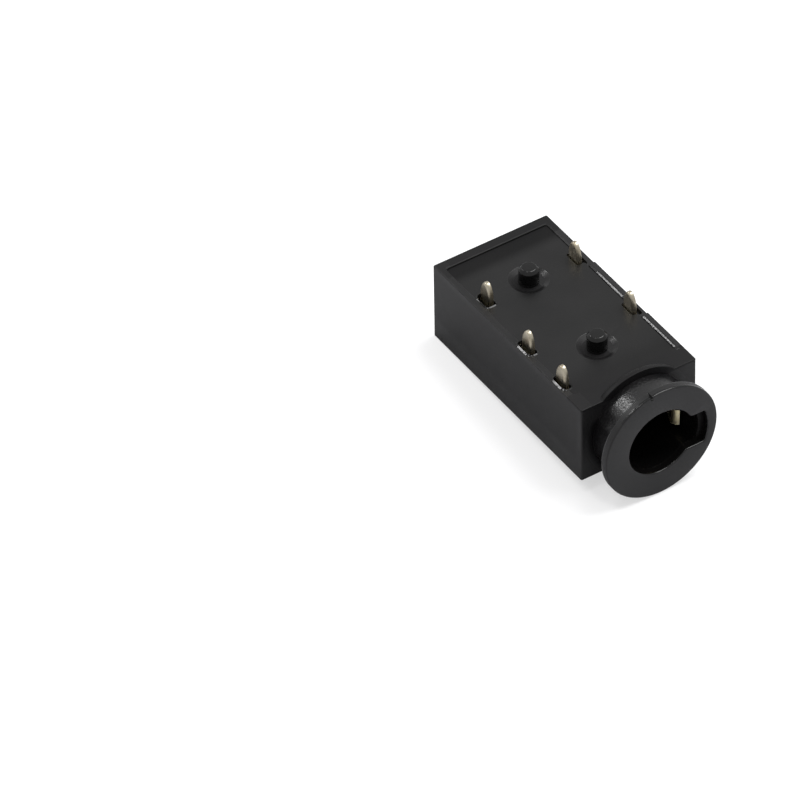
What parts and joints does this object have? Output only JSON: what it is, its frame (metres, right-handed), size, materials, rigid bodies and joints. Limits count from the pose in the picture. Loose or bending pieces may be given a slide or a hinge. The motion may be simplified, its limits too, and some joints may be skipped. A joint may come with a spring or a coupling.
{
  "type": "audio jack socket",
  "caption": "Rectangular board-mounted socket for a small round audio plug, with a flanged mouth, a keyway, flat solder tails and round locating pegs.",
  "frame": {"origin": "middle of the plug hole, at the flange's front face", "axes": "+X out of the plug hole, along the plug. +Z towards the circuit board, the way the pegs and solder tails point, which is up as the part lies in the picture. +Y towards the keyway."},
  "size_m": [0.0143, 0.0066, 0.0063],
  "materials": {
    "black_housing_plastic": "satin moulded black, glossier on the neck and inside the mouth",
    "black_plate_plastic": "satin moulded black",
    "plated_strip": "pale gold plating, smooth, with rounded stamped edges"
  },
  "bodies": {
    "root": {"housing": "black_housing_plastic", "base_plate": "black_plate_plastic", "sleeve_contact": "plated_strip", "ring_one_contact": "plated_strip", "ring_two_contact": "plated_strip", "tip_contact": "plated_strip", "tip_switch_contact": "plated_strip"}
  },
  "joints": []
}
